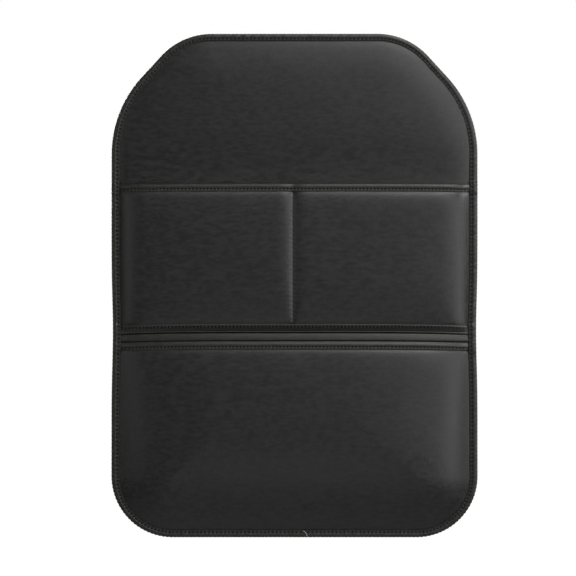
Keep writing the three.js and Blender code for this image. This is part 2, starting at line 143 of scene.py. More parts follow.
def inset_at(x, z):
    """Distance in from the rim: the least distance to a straight stretch or, inside the turn of
    an arc, that arc's radius less the distance from its centre."""
    x = np.abs(x)
    lean_reach = shoulder_radius + top_flat_half * np.cos(lean)
    lean_reach += (top_z - shoulder_radius) * np.sin(lean)
    nearest = np.minimum(top_z - z, z - bottom_z)
    nearest = np.minimum(nearest, half_width - waist(z) - x)
    nearest = np.minimum(nearest, lean_reach - x * np.cos(lean) - z * np.sin(lean))
    arcs = [
        (top_flat_half, top_z - shoulder_radius, shoulder_radius, lean, np.pi / 2),
        (half_width - side_radius, side_arc_z, side_radius, 0, lean),
        (corner_x, corner_z, corner_radius, -np.pi / 2, 0),
    ]
    for centre_x, centre_z, radius, low, high in arcs:
        turn = np.arctan2(z - centre_z, x - centre_x)
        inside = (turn >= low) & (turn <= high)
        reach = radius - np.hypot(x - centre_x, z - centre_z)
        nearest = np.where(inside, np.minimum(nearest, reach), nearest)
    return nearest


def ripple(x, z, length, seed):
    """A smooth unevenness from -1 to 1: the mean of eight sine waves of about one length, in
    mixed directions."""
    rng = np.random.default_rng(seed)
    total = np.zeros(np.broadcast(x, z).shape)
    for _ in range(8):
        turn, shift = rng.uniform(0, 2 * np.pi, 2)
        reach = 2 * np.pi / (length * rng.uniform(0.7, 1.5))
        total += np.sin(reach * (x * np.cos(turn) + z * np.sin(turn)) + shift)
    return total / 8


def raised(x, z, depth):
    """Points from x, z and depth arrays."""
    x, z, depth = np.broadcast_arrays(x, z, depth)
    return np.stack([x, back_y - depth, z], -1)


def write_mesh(name, points, faces, masks=()):
    """Puts points, and faces of one or more corner counts, into a new smooth mesh object."""
    mesh = bpy.data.meshes.new(name)
    corners = np.concatenate([f.ravel() for f in faces]).astype(np.int32)
    sizes = np.concatenate([np.full(len(f), f.shape[1]) for f in faces]).astype(np.int32)
    mesh.vertices.add(len(points))
    mesh.vertices.foreach_set("co", (points * mm).astype(np.float32).ravel())
    mesh.loops.add(len(corners))
    mesh.loops.foreach_set("vertex_index", corners)
    mesh.polygons.add(len(sizes))
    starts = np.concatenate([[0], np.cumsum(sizes)[:-1]]).astype(np.int32)
    mesh.polygons.foreach_set("loop_start", starts)
    mesh.update(calc_edges=True)
    mesh.validate()
    mesh.shade_smooth()
    mesh.set_sharp_from_angle(angle=np.radians(60))
    for mask, values in masks:
        layer = mesh.attributes.new(mask, "FLOAT", "POINT")
        layer.data.foreach_set("value", values.astype(np.float32).ravel())
    piece = bpy.data.objects.new(name, mesh)
    bpy.context.scene.collection.objects.link(piece)
    return piece


def shell(name, x, z, front, back):
    """A closed sheet over a grid of x and z, rows downwards and columns to the right: its front
    depth, its back depth turned over, and a strip that joins their edges."""
    rows, columns = x.shape
    ids = np.arange(rows * columns).reshape(rows, columns)
    faces = np.stack([ids[:-1, :-1], ids[1:, :-1], ids[1:, 1:], ids[:-1, 1:]], -1).reshape(-1, 4)
    border = np.concatenate([ids[:-1, 0], ids[-1, :-1], ids[:0:-1, -1], ids[0, :0:-1]])
    after = np.roll(border, -1)
    count = rows * columns
    strip = np.stack([after, border, border + count, after + count], 1)
    points = np.concatenate([raised(x, z, depth).reshape(-1, 3) for depth in (front, back)])
    return write_mesh(name, points, [faces, faces[:, ::-1] + count, strip])


def feed(tree, value, socket):
    """Joins a socket to another one, or sets its value."""
    if isinstance(value, bpy.types.NodeSocket):
        tree.links.new(value, socket)
    else:
        socket.default_value = value


def node(tree, kind, settings=None, **inputs):
    """Adds a node. Each input, spaces written as underscores, is a value or a socket to join."""
    made = tree.nodes.new(kind)
    for key, value in (settings or {}).items():
        setattr(made, key, value)
    for key, value in inputs.items():
        feed(tree, value, made.inputs[key.replace("_", " ")])
    return made


def maths(tree, operation, *values, clamp=False):
    """Adds a maths node and returns its result. Each value is a number or a socket to join."""
    made = node(tree, "ShaderNodeMath", {"operation": operation, "use_clamp": clamp})
    for value, socket in zip(values, made.inputs):
        feed(tree, value, socket)
    return made.outputs[0]


def shade_between(tree, mask, dark, light, low=0.0, high=1.0):
    """A colour that goes from dark to light while the mask goes from low to high."""
    shade = node(tree, "ShaderNodeValToRGB", Fac=mask)
    for stop, colour, position in zip(shade.color_ramp.elements, (dark, light), (low, high)):
        stop.color = (*colour, 1)
        stop.position = position
    return shade.outputs["Color"]


def new_material(name):
    """A new material, its tree, its main surface and a socket with the object's coordinates."""
    material = bpy.data.materials.new(name)
    material.use_nodes = True
    tree = material.node_tree
    place = tree.nodes.new("ShaderNodeTexCoord").outputs["Object"]
    return material, tree, tree.nodes["Principled BSDF"], place


def coat(tree, surface, colour, roughness, height, relief, distance):
    """Gives a surface its colour, its roughness and a bump from a height."""
    bump = node(tree, "ShaderNodeBump", Height=height, Strength=relief, Distance=distance)
    feed(tree, colour, surface.inputs["Base Color"])
    feed(tree, roughness, surface.inputs["Roughness"])
    feed(tree, bump.outputs["Normal"], surface.inputs["Normal"])


def new_group(name, inputs, outputs):
    """A shader node group with named float or vector inputs and float outputs."""
    group = bpy.data.node_groups.new(name, "ShaderNodeTree")
    for label, kind, value in inputs:
        socket = group.interface.new_socket(label, in_out="INPUT", socket_type=kind)
        if value is not None:
            socket.default_value = value
    for label in outputs:
        group.interface.new_socket(label, in_out="OUTPUT", socket_type="NodeSocketFloat")
    given = group.nodes.new("NodeGroupInput").outputs
    return group, given, group.nodes.new("NodeGroupOutput").inputs


def weave_group():
    """Crossed threads: two sine waves at right angles, with fine lint over them."""
    group, given, out = new_group(
        "cloth_weave",
        [("Vector", "NodeSocketVector", None), ("Threads", "NodeSocketFloat", 900.0)],
        ["Height"],
    )
    spread = node(group, "ShaderNodeSeparateXYZ", Vector=given["Vector"])
    waves = []
    for axis in ("X", "Z"):
        count = maths(group, "MULTIPLY", spread.outputs[axis], given["Threads"])
        turn = maths(group, "MULTIPLY", count, 2 * np.pi)
        waves.append(maths(group, "SINE", turn))
    crossed = maths(group, "MULTIPLY", *waves)
    lint = node(group, "ShaderNodeTexNoise", Vector=given["Vector"], Scale=1500.0, Detail=3.0)
    total = maths(group, "MULTIPLY_ADD", crossed, 0.5, lint.outputs["Fac"])
    feed(group, total, out["Height"])
    return group


weave = weave_group()


def cloth_material(name, dark, light, threads, roughness, relief, sheen):
    """Woven or felted cloth: weave bump, and a mottle between two near colours."""
    material, tree, surface, place = new_material(name)
    woven = node(tree, "ShaderNodeGroup", {"node_tree": weave}, Vector=place, Threads=threads)
    mottle = node(tree, "ShaderNodeTexNoise", Vector=place, Scale=160.0, Detail=4.0)
    colour = shade_between(tree, mottle.outputs["Fac"], dark, light, 0.35, 0.65)
    coat(tree, surface, colour, roughness, woven.outputs["Height"], relief, 0.0003)
    surface.inputs["Sheen Weight"].default_value = sheen
    surface.inputs["Sheen Roughness"].default_value = 0.5
    return material


def dress(piece, material, slot, *nodes):
    """Gives a piece its material, and ties it to the frame."""
    piece.data.materials.append(material)
    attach(piece, "root")
    if nodes:
        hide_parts(*nodes)
    return piece


def cut_area(inset):
    """Flat area in square metres inside the rim drawn in by inset, by the shoelace formula."""
    rim = evenly(half_outline(), 800)
    x, z = (rim + inset * inward(rim)).T
    return 2 * abs(np.sum((x[1:] + x[:-1]) / 2 * np.diff(z))) * mm * mm


lining_cloth = cloth_material(
    "lining_cloth", (0.012, 0.012, 0.013), (0.02, 0.02, 0.021), 700.0, 0.95, 0.5, 0.25
)
lining_x, lining_z = body_grid(lining_inset, 150, 110)
lining_lift = lining_wave * ripple(lining_x, lining_z, length=60, seed=3)
lining_lift *= ramp(inset_at(lining_x, lining_z), lining_wave_fade)
lining = shell("lining", lining_x, lining_z, lining_thickness + lining_lift, lining_lift.clip(0))
dress(lining, lining_cloth, "lining_fabric", "rear_lining")
cut_area(lining_inset)


# Foam core
# A grey foam sheet between lining and face. It thins towards the edge, where the
# tape nips it, and gives the panel its crown.

core_rear = 1.1
core_edge_front = 2.6
crown_rise = 2.4
crown_run = 36.0
crown_start = 10.0
crown_power = 2.4


def pillow(distance, run):
    """Rises from 0 at distance 0 to 1 at distance run, steep at first and level at the end."""
    return 1 - (1 - ramp(distance, run)) ** crown_power


def ease(distance, run):
    """Rises from 0 at distance 0 towards 1, level at first, steepest at distance run."""
    far = np.clip(distance / run, 0, None)
    return 1 - (1 + far) * np.exp(-far)


def inside(x, z):
    """Distance in from where the crown starts, beside the edge tape."""
    return inset_at(x, z) - crown_start


def crown(x, z):
    """The rise of the panel's face from its edge to its level middle."""
    return crown_rise * pillow(inside(x, z), crown_run)


def foam_material():
    """Open-cell foam: small cells as bump and colour."""
    material, tree, surface, place = new_material("core_foam")
    cells = node(tree, "ShaderNodeTexVoronoi", Vector=place, Scale=900.0).outputs["Distance"]
    colour = shade_between(tree, cells, (0.05, 0.05, 0.053), (0.1, 0.1, 0.105))
    coat(tree, surface, colour, 0.95, cells, 0.6, 0.0004)
    return material


core_x, core_z = body_grid(lining_inset, 120, 90)
core = shell("padding", core_x, core_z, core_edge_front + crown(core_x, core_z), core_rear)
dress(core, foam_material(), "core_foam", "foam_core")


# Face panel
# Black artificial leather over the foam, one sheet from edge to edge. It shows
# above the pockets and inside them, and rolls down beside the edge tape.

face_rear = 2.9
face_front = 4.1
roll_start = 9.3
roll_rise = 0.7
roll_run = 4.5
top_roll_rise = 0.35
top_roll_run = 7.0
right_swell = 1.8
face_puff = 2.9
face_puff_run = 50.0
puff_side_run = 90.0
mouth_fade = 45.0
face_wave = 0.12
wave_start_run = 20.0
mouth_below_top = 184.4
mouth_z = top_z - mouth_below_top


def roll(distance, run):
    """Rises quickly from 0 at distance 0 towards 1, as leather does beside a seam."""
    return 1 - np.exp(-np.clip(distance, 0, None) / run)


def face_depth(x, z):
    """The face's front: a quick roll beside the tape, the foam's crown, a slow rise from the top
    that is kept back beside the pockets' mouth, and a slight unevenness."""
    inset = inside(x, z)
    below_top = top_z - z
    back_off = 1 - np.exp(-(((z - mouth_z).clip(0)) / mouth_fade) ** 2)
    swell = face_puff * pillow(below_top - crown_start, face_puff_run) * back_off
    swell = swell * pillow(inset, puff_side_run)
    uneven = face_wave * ripple(x, z, length=70, seed=11) * ramp(inset, wave_start_run)
    top_roll = top_roll_rise * (1 + right_swell * ramp(x, half_width))
    rolled = roll_rise * roll(inset_at(x, z) - roll_start, roll_run)
    rolled = rolled + top_roll * roll(below_top - roll_start, top_roll_run) * back_off
    crowned = (crown_rise - roll_rise) * pillow(inset, crown_run)
    return face_front + rolled + crowned + swell + uneven


def leather_group():
    """Fine pebbled grain as a height, and a faint mottle stretched sideways as a mask."""
    group, given, out = new_group(
        "leather_grain",
        [("Vector", "NodeSocketVector", None), ("Pebble", "NodeSocketFloat", 1100.0)],
        ["Height", "Mottle"],
    )
    place = given["Vector"]
    pebbles = node(group, "ShaderNodeTexVoronoi", {"feature": "SMOOTH_F1"}, Vector=place)
    feed(group, given["Pebble"], pebbles.inputs["Scale"])
    fine = node(group, "ShaderNodeTexNoise", Vector=place, Scale=2600.0, Detail=2.0)
    height = maths(group, "MULTIPLY_ADD", fine.outputs["Fac"], 0.5, pebbles.outputs["Distance"])
    feed(group, height, out["Height"])
    stretch = node(group, "ShaderNodeMapping", Vector=place, Scale=(0.4, 1.0, 1.0))
    streaks = node(group, "ShaderNodeTexNoise", Vector=stretch.outputs[0], Scale=260.0, Detail=5.0)
    feed(group, streaks.outputs["Fac"], out["Mottle"])
    return group


mottle_low, mottle_high = 0.38, 0.62
# Near black that is painted into needle holes, stitch rows and creases as their shade.
painted_shade_black = (0.002, 0.002, 0.002, 1)
leather_grain = leather_group()


def leather_material(name, dark, light, gloss, pebble, relief):
    """Artificial leather: grain bump, mottled colour and roughness, and painted shade, near black
    and rougher, in needle holes, along stitch rows and in creases where the mesh has a mask of
    painted shade. gloss is the lowest and highest roughness."""
    material, tree, surface, place = new_material(name)
    grain = node(tree, "ShaderNodeGroup", {"node_tree": leather_grain}, Vector=place, Pebble=pebble)
    mottle = grain.outputs["Mottle"]
    painted_shade = node(tree, "ShaderNodeAttribute", {"attribute_name": "painted_shade"}).outputs["Fac"]
    colour = shade_between(tree, mottle, dark, light, mottle_low, mottle_high)
    # Painted shade: the colour turns near black where the mask of holes and creases is set.
    shade_painted = node(tree, "ShaderNodeMix", {"data_type": "RGBA"}, Factor=painted_shade)
    feed(tree, colour, shade_painted.inputs[6])
    feed(tree, painted_shade_black, shade_painted.inputs[7])
    dull = node(
        tree,
        "ShaderNodeMapRange",
        Value=mottle,
        From_Min=mottle_low,
        From_Max=mottle_high,
        To_Min=gloss[0],
        To_Max=gloss[1],
    )
    roughness = maths(tree, "ADD", dull.outputs[0], painted_shade, clamp=True)
    coat(tree, surface, shade_painted.outputs[2], roughness, grain.outputs["Height"], relief, 0.00025)
    return material


panel_leather = leather_material(
    "panel_leather", (0.0078, 0.0078, 0.0085), (0.0136, 0.0136, 0.0147), (0.34, 0.42), 1100.0, 0.35
)
face_x, face_z = body_grid(lining_inset, 230, 190)
face = shell("face", face_x, face_z, face_depth(face_x, face_z), face_rear + crown(face_x, face_z))
dress(face, panel_leather, "panel_leather", "face_panel")


# Upper pocket sheet
# One padded leather sheet, sewn down by a centre seam so that it makes two
# pockets. Each lobe swells a little and rolls down hard to the seam.

lay_gap = 0.3
flange_thickness = 0.9
flange_bound_thickness = 0.6
pocket_thickness = 4.1
bound_thickness = 1.8
seam_thickness = 0.9
tape_thickness = 0.7
flange_tape_thickness = 0.4
tape_thin_run = 8.8
pocket_tape_width = 10.3
leg_difference = 2.5
short_leg = pocket_tape_width - leg_difference
sheet_edge = 2.4
stitch_inset = 7.0
thicken_run = 2.2
pad_run = 11.0
row_rise = 1.7
upper_bow_rise = 1.3
hem_curl = 4.0
hem_curl_start = 3.0
hem_curl_run = 6.6
hem_flare = 1.9
bow_run = 100.0
mouth_drop = 0.8
hem_drop = 2.5
fall_inset = 9.6
seam_x = -2.0
seam_half = 0.4
seam_flat = 1.5
seam_pitch = 5.5
seam_nip = 1.7
seam_roll = 3.0
seam_wander = 0.35
pucker_reach = 1.2
pucker_height = 0.06
pucker_fade = 4.0
upper_swell = 2.0
upper_swell_run = 13.0
hem_ease_run = 60.0
upper_wave = 0.15
right_lip = 3.0
lip_run = 9.0
lip_fade = 50.0
lip_side_run = 8.0
seam_bow_run = 18.0


def end_fall(x):
    """How far a mouth or hem falls towards its ends, from 0 to 1."""
    return np.minimum(1, np.abs(x) / (half_width - fall_inset)) ** 4


def mouth_line(x):
    """Height of the upper pockets' mouth."""
    return mouth_z - mouth_drop * end_fall(x)


def hem_line(x):
    """Height of the upper pockets' hem."""
    return hem_z - hem_drop * end_fall(x)


def lip(x, z, below, most=right_lip, fade=lip_fade):
    """An extra rise below a mouth that grows towards the right and fades again downwards."""
    rise = most * ramp(x - seam_x, half_width) ** 1.5 * roll(below, lip_run)
    return rise * np.exp(-np.clip(below, 0, None) / fade) * ease(inside(x, z), lip_side_run)


def padded_share(x, z, run=pad_run):
    """0 under the edge tape, and quickly towards 1 inside it."""
    return roll(inset_at(x, z) - roll_start, run)


def tape_at(x, z):
    """Thickness of a pocket's tape, which thins towards the edge tape."""
    share = ramp(inside(x, z), tape_thin_run)
    return flange_tape_thickness + share * (tape_thickness - flange_tape_thickness)


def leg_raise(x, z, offset):
    """A sheet stands forward by its tape's rear leg, out to where that leg ends."""
    share = 1 - ramp(offset - short_leg, leg_difference)
    return share * (tape_at(x, z) + lay_gap)


def pocket_pad(x, z, offset, run=pad_run):
    """Thickness of a pocket sheet: nipped under its tape and at the panel's edge. It starts to
    rise from the tape's stitch row and comes quickly to its full padding below the tape."""
    share = padded_share(x, z, run)
    bound = flange_bound_thickness + share * (bound_thickness - flange_bound_thickness)
    full = flange_thickness + share * (pocket_thickness - flange_thickness)
    early = share * row_rise
    late = full - bound - early
    rise = early * roll(offset - stitch_inset, thicken_run)
    return bound + rise + late * roll(offset - pocket_tape_width, thicken_run)


def seam_distance(x, z):
    """Distance from the centre seam, which wanders a little from stitch to stitch."""
    wander = seam_wander * np.sin(2 * np.pi * z / seam_pitch)
    return np.clip(np.abs(x - seam_x - wander) - seam_half, 0, None)


def upper_offset(x, z):
    """Distance in from the mouth or the hem, whichever is nearer."""
    return np.minimum(mouth_line(x) - z, z - hem_line(x))


def face_base(x, z):
    """Depth that the pockets lie on: the crowned face."""
    return face_front + crown(x, z)


def upper_rear(x, z):
    """The sheet's rear: it lies on the face and bows off it between its sides, seam and hem."""
    from_side = pillow(inside(x, z), bow_run)
    from_seam = pillow(np.abs(x - seam_x) - seam_flat, seam_bow_run)
    rise = pillow(z - hem_line(x) - pocket_tape_width, bow_run)
    bow = upper_bow_rise * from_side * from_seam * rise
    return face_base(x, z) + lay_gap + bow + leg_raise(x, z, upper_offset(x, z))


def upper_pad(x, z):
    """The sheet's padding. A curl that steepens downwards turns its hem in towards the face, and
    the hem's last few millimetres flare out again over the pocket below."""
    above = z - hem_line(x)
    share = ramp(above - hem_curl_start, hem_curl_run)
    curl = hem_curl * (1 - (1 - share) ** 2) + hem_flare * (1 - ramp(above, hem_curl_start))
    return pocket_pad(x, z, upper_offset(x, z)) + curl * padded_share(x, z)


def upper_front(x, z):
    """The sheet's front: its padding, a swell below the mouth, and a nip along the seam that
    fades sideways as an exponential, with a pucker beside each stitch."""
    away = seam_distance(x, z)
    pad = upper_pad(x, z)
    near = away / pucker_reach
    pucker = pucker_height * np.cos(2 * np.pi * z / seam_pitch) * near * np.exp(1 - near)
    wrinkled = pucker * roll(upper_offset(x, z) - pocket_tape_width, pucker_fade)
    below = mouth_line(x) - z - pocket_tape_width
    swell = upper_swell * roll(below, upper_swell_run) * pillow(inside(x, z), puff_side_run)
    swell = swell * pillow(z - hem_line(x) - pocket_tape_width, hem_ease_run) + lip(x, z, below)
    uneven = upper_wave * ripple(x, z, length=60, seed=23) * padded_share(x, z)
    nip = np.minimum(seam_nip, pad - seam_thickness) * np.exp(-away / seam_roll)
    return upper_rear(x, z) + pad + swell + uneven - nip + wrinkled


def upper_grid():
    """x and z of the sheet: rows follow the mouth and hem, and columns crowd at the seam."""
    left = seam_x + (crowd(150, 0.7) - 1) / 2 * (half_width - lining_inset + seam_x)
    right = seam_x + (crowd(150, 0.7) + 1) / 2 * (half_width - lining_inset - seam_x)
    across = np.concatenate([left, right[1:]])
    share = np.linspace(0, 1, 165)[:, None]
    first, last = mouth_line(across) - sheet_edge, hem_line(across) + sheet_edge
    z = (1 - share) * first + share * last
    x = across * (half_width - waist(z)) / half_width
    return x, z


upper_x, upper_z = upper_grid()


def pocket_sheet(name, x, z, front, rear):
    """A padded leather sheet over a grid, between two depth functions."""
    sheet = shell(name + "_sheet", x, z, front(x, z), rear(x, z))
    dress(sheet, panel_leather, "panel_leather", name + "_panel")


pocket_sheet("upper_pocket", upper_x, upper_z, upper_front, upper_rear)


# Upper pocket tapes
# A strip of thinner leather is folded over the sheet's mouth and another over
# its hem, and each is sewn through near its inner edge.

mouth_pitch = 4.44
steps_per_stitch = 6
fold_reach = 2.0
hem_fold_reach = 0.9
fold_points = 7
stitch_dip = 0.3
stitch_dip_width = 0.9
needle_depth = 0.35
needle_radius = 0.95
puff = 0.5
edge_round = 0.4
edge_drop = 0.3
edge_taper = 0.15
edge_taper_run = 1.7
# Strengths of the shade painted into the tapes' colour: in each needle hole, along each stitch row
# and in the crease at the edge tape's inner edge; then where that crease lies in from the edge, and
# how wide it is.
hole_painted_shade = 1.7
row_painted_shade = 0.25
crease_painted_shade = 0.6
crease_painted_shade_at = 0.9
crease_painted_shade_reach = 1.1


def leg_relief(offset, along, pitch, stitch_at, width, bulge=puff, fall=0.0, fold=fold_reach):
    """Height of a tape's outer face over its own base, and its mask of painted shade in the holes,
    along the stitch row and, with a fall, in the crease at its edge. The tape puffs between fold
    and stitch row, dips at the row and more at each hole, and thins and rounds off at its edge.
    With a fall it is raised at the row and slopes down to its edge."""
    past_fold = ramp(offset - fold, stitch_at - fold)
    row = np.exp(-(((offset - stitch_at) / stitch_dip_width) ** 2))
    to_hole = (along / pitch - np.round(along / pitch)) * pitch
    hole = np.exp(-((offset - stitch_at) ** 2 + to_hole**2) / needle_radius**2)
    rounded = edge_drop * ramp(offset - width + edge_round, edge_round) ** 2
    thinned = edge_taper * ramp(offset - width + edge_taper_run, edge_taper_run)
    raise_at = (width - stitch_at) * np.sin(np.pi / 2 * past_fold)
    raise_at = fall * (raise_at - np.clip(offset - stitch_at, 0, None))
    relief = bulge * np.sin(np.pi * past_fold) + raise_at
    relief = relief - stitch_dip * row - needle_depth * hole - tape_thickness * (rounded + thinned)
    at_edge = np.exp(-(((offset - width + crease_painted_shade_at) / crease_painted_shade_reach) ** 2))
    # Painted shade along the stitch row, and in the crease at the edge tape's inner edge.
    painted_row_and_crease_shade = row_painted_shade * row + (crease_painted_shade if fall else 0) * at_edge
    return relief, np.minimum(1, hole_painted_shade * hole + painted_row_and_crease_shade)


def tape_loops(
    front_of,
    rear_of,
    place,
    along,
    width,
    stitch_at,
    pitch,
    tape,
    bulge=puff,
    fall=0.0,
    fold=fold_reach,
):
    """Sections of a folded tape, one for each value of along, as (sections, points, 3) with the
    mask of painted shade in its needle holes, along its stitch row and in its edge crease. front_of
    and rear_of give the depths of what it holds at an offset in from the fold, and place turns an
    offset and a depth into a point. A section runs along the front leg, round the fold and along
    the rear leg, and back inside the tape."""
    beside_row = [stitch_at + step for step in (0.95, 0.4, 0, -0.4, -0.95, -1.8, -2.8, -3.9)]
    offsets = [width, width - edge_round, *beside_row, fold + 1, fold]
    offsets = [offset for offset in offsets if offset <= width]
    inner = np.linspace(width, fold, 3)
    turn = np.linspace(np.pi / 2, -np.pi / 2, fold_points + 2)[1:-1]
    rear_width = width - leg_difference
    rear_offsets = np.linspace(fold, rear_width, 5)
    level, under = front_of(fold), rear_of(fold)
    points, masks = [], []

    def put(offset, depth, mask=None):
        points.append(place(offset, depth))
        masks.append(np.zeros_like(along) if mask is None else mask)

    put(width, front_of(width) + 0.25 * tape)
    for offset in offsets:
        # The second result is the mask of painted shade in holes and creases at this offset.
        relief, hole = leg_relief(offset, along, pitch, stitch_at, width, bulge, fall, fold)
        put(offset, front_of(offset) + tape + relief, hole)
    middle, half = (level + under) / 2, (level - under) / 2 + tape
    for angle in turn:
        put(fold * (1 - np.cos(angle)), middle + half * np.sin(angle))
    for offset in rear_offsets:
        relief, hole = leg_relief(offset, along, pitch, stitch_at, rear_width)
        put(offset, under - tape - 0.5 * relief, hole)
    put(rear_width, under - 0.1)
    for offset in rear_offsets[1::2][::-1]:
        put(offset, under - 0.05)
    half = (level - under) / 2
    for angle in turn[::-2]:
        put(fold - (fold - tape) * np.cos(angle), middle + half * np.sin(angle))
    for offset in inner[::-1]:
        put(offset, front_of(offset) + 0.05)
    return np.stack(points, 1), np.stack(masks, 1)


def sweep(name, loops, masks, closed):
    """Joins equal loops of points into one closed solid, round in a ring or with capped ends."""
    stations, size = loops.shape[:2]
    ids = np.arange(stations * size).reshape(stations, size)
    after = np.roll(ids, -1, axis=0) if closed else ids[1:]
    here = ids if closed else ids[:-1]
    turned, turned_after = np.roll(here, -1, axis=1), np.roll(after, -1, axis=1)
    faces = [np.stack([here, turned, turned_after, after], -1).reshape(-1, 4)]
    if not closed:
        faces += [ids[:1, ::-1], ids[-1:]]
    # The masks become the mesh's mask of painted shade.
    piece = write_mesh(name, loops.reshape(-1, 3), faces, [("painted_shade", masks)])
    return turn_outwards(piece)


def turn_outwards(piece):
    """Turns a closed mesh's faces over if its signed volume is negative."""
    mesh = piece.data
    mesh.calc_loop_triangles()
    corners = np.empty(len(mesh.loop_triangles) * 3, np.int32)
    mesh.loop_triangles.foreach_get("vertices", corners)
    spots = np.empty(len(mesh.vertices) * 3, np.float32)
    mesh.vertices.foreach_get("co", spots)
    a, b, c = spots.reshape(-1, 3)[corners.reshape(-1, 3)].transpose(1, 0, 2).astype(float)
    if np.sum(a * np.cross(b, c)) < 0:
        mesh.flip_normals()
    return piece


def declare_tape(piece, loops, length, *held):
    """Measures the mean length round a tape's sections, and keeps nothing of it."""
    around = np.linalg.norm(np.roll(loops, -1, axis=1) - loops, axis=2).sum(1).mean()


def tape_span(line):
    """Half the length of a pocket's tape, and its count of stitches."""
    reach = half_width - lining_inset - waist(line(np.array([200.0])))[0]
    return reach, int(round(2 * reach / mouth_pitch))


tape_leather = leather_material(
    "tape_leather", (0.0125, 0.0125, 0.0108), (0.0165, 0.0165, 0.0145), (0.34, 0.42), 1500.0, 0.3
)


def pocket_tape(
    edge, front, rear, line, towards=-1, stitch_at=stitch_inset, bulge=puff, fold=fold_reach
):
    """A tape folded over a pocket sheet's mouth (towards -1) or hem (towards 1)."""
    reach, count = tape_span(line)
    across = np.linspace(-reach, reach, count * steps_per_stitch + 1)
    edge_z = line(across)

    def place(offset, depth):
        return raised(across, edge_z + towards * offset, depth)

    loops, masks = tape_loops(
        lambda offset: front(across, edge_z + towards * offset),
        lambda offset: rear(across, edge_z + towards * offset),
        place,
        across + reach,
        pocket_tape_width,
        stitch_at,
        2 * reach / count,
        tape_at(across, edge_z),
        bulge,
        fold=fold,
    )
    tape = sweep(edge + "_tape", loops, masks, closed=False)
    dress(tape, tape_leather, "binding_leather", edge + "_binding")
    declare_tape(tape, loops, 2 * reach, edge.rsplit("_", 1)[0] + "_panel")


def upper_front_flat(x, z):
    """The sheet's front under its tapes, without the seam's nip."""
    return upper_rear(x, z) + upper_pad(x, z)


pocket_tape("upper_pocket_mouth", upper_front_flat, upper_rear, mouth_line)
pocket_tape(
    "upper_pocket_hem", upper_front_flat, upper_rear, hem_line, 1, bulge=0.0, fold=hem_fold_reach
)


# Rear full-width pocket
# A padded leather sheet from side to side, sewn in along the sides and bottom.
# Only its bound lip shows above the front pocket.

lower_bow_rise = 5.0
lower_bow_run = 30.0
lower_pad_run = 20.0
rear_mouth_below_top = 368.4
lower_mouth_drop = 2.3
droop_fade = 120.0
lip_shows = 9.7
rear_mouth_z = top_z - rear_mouth_below_top
front_mouth_z = rear_mouth_z - lip_shows


def rear_mouth_line(x):
    """Height of the rear pocket's mouth, which droops towards its ends."""
    return rear_mouth_z - lower_mouth_drop * end_fall(x)


def lower_bow(x, z):
    """How far one of the two pockets stands off what lies behind it."""
    return lower_bow_rise * ease(inside(x, z), lower_bow_run)


def rear_pocket_rear(x, z):
    """The sheet's rear, which bows off the face."""
    offset = rear_mouth_line(x) - z
    return face_base(x, z) + lay_gap + lower_bow(x, z) + leg_raise(x, z, offset)


def rear_pocket_front(x, z):
    """The sheet's front: its padding alone."""
    return rear_pocket_rear(x, z) + pocket_pad(x, z, rear_mouth_line(x) - z, lower_pad_run)


def lower_grid(mouth, line, rows, columns):
    """x and z of a lower pocket: rows join the two sides' points at one height, go round the
    rounded corners, and follow the mouth's droop at the top."""
    rim = evenly(half_outline(from_z=mouth - sheet_edge), rows)
    rim = rim + lining_inset * inward(rim)
    x = rim[:, :1] * crowd(columns)
    z = np.repeat(rim[:, 1:], columns, 1)
    fade = 1 - ramp(mouth - sheet_edge - z, droop_fade)
    return x, z + fade * (line(x) - mouth)


rear_x, rear_z = lower_grid(rear_mouth_z, rear_mouth_line, 150, 150)
pocket_sheet("rear_pocket", rear_x, rear_z, rear_pocket_front, rear_pocket_rear)
pocket_tape(
    "rear_pocket_mouth",
    rear_pocket_front,
    rear_pocket_rear,
    rear_mouth_line,
    stitch_at=lip_shows + 0.4,
    bulge=0.9,
)


# Front full-width pocket
# The same again in front of the rear one, a tape's width lower. Its swell ends in
# a steep roll along the bottom and the right-hand side.

bow_mouth_share = 0.35
belly_run = 110.0
front_swell = 2.0
front_swell_run = 25.0
front_swell_side_run = 12.0
front_sag = 3.5
front_sag_side_run = 20.0
front_wave = 0.2
front_lip = 2.6
front_lip_fade = 110.0


def front_mouth_line(x):
    """Height of the front pocket's mouth, which droops as the rear one's does."""
    return front_mouth_z - lower_mouth_drop * end_fall(x)


def front_pocket_rear(x, z):
    """The sheet's rear: it lies on the rear pocket and bows off it, least at the mouth."""
    offset = front_mouth_line(x) - z
    belly = bow_mouth_share + (1 - bow_mouth_share) * pillow(offset - pocket_tape_width, belly_run)
    bow = belly * lower_bow(x, z)
    return rear_pocket_front(x, z) + lay_gap + bow + leg_raise(x, z, offset)


def front_pocket_front(x, z):
    """The sheet's front: its padding, a short swell below the mouth that is highest on the right,
    a sag that is deepest two thirds of the way down, and a slight unevenness."""
    offset = front_mouth_line(x) - z
    below = offset - pocket_tape_width
    inset = inside(x, z)
    swell = front_swell * roll(below, front_swell_run) * ease(inset, front_swell_side_run)
    swell = swell + lip(x, z, below, front_lip, front_lip_fade)
    share = ramp(below, front_mouth_z - bottom_z - pocket_tape_width)
    sag = front_sag * np.sin(np.pi * share**1.3) ** 2 * ease(inset, front_sag_side_run)
    pad = pocket_pad(x, z, offset, lower_pad_run)
    uneven = front_wave * ripple(x, z, length=80, seed=31) * padded_share(x, z)
    return front_pocket_rear(x, z) + pad + swell + sag + uneven


front_x, front_z = lower_grid(front_mouth_z, front_mouth_line, 210, 200)
pocket_sheet("front_pocket", front_x, front_z, front_pocket_front, front_pocket_rear)
pocket_tape("front_pocket_mouth", front_pocket_front, front_pocket_rear, front_mouth_line)


# Edge tape
# One strip of thin leather folded over the whole panel's edge and sewn through
# all the layers. It steps out where a pocket's tape runs in under it.

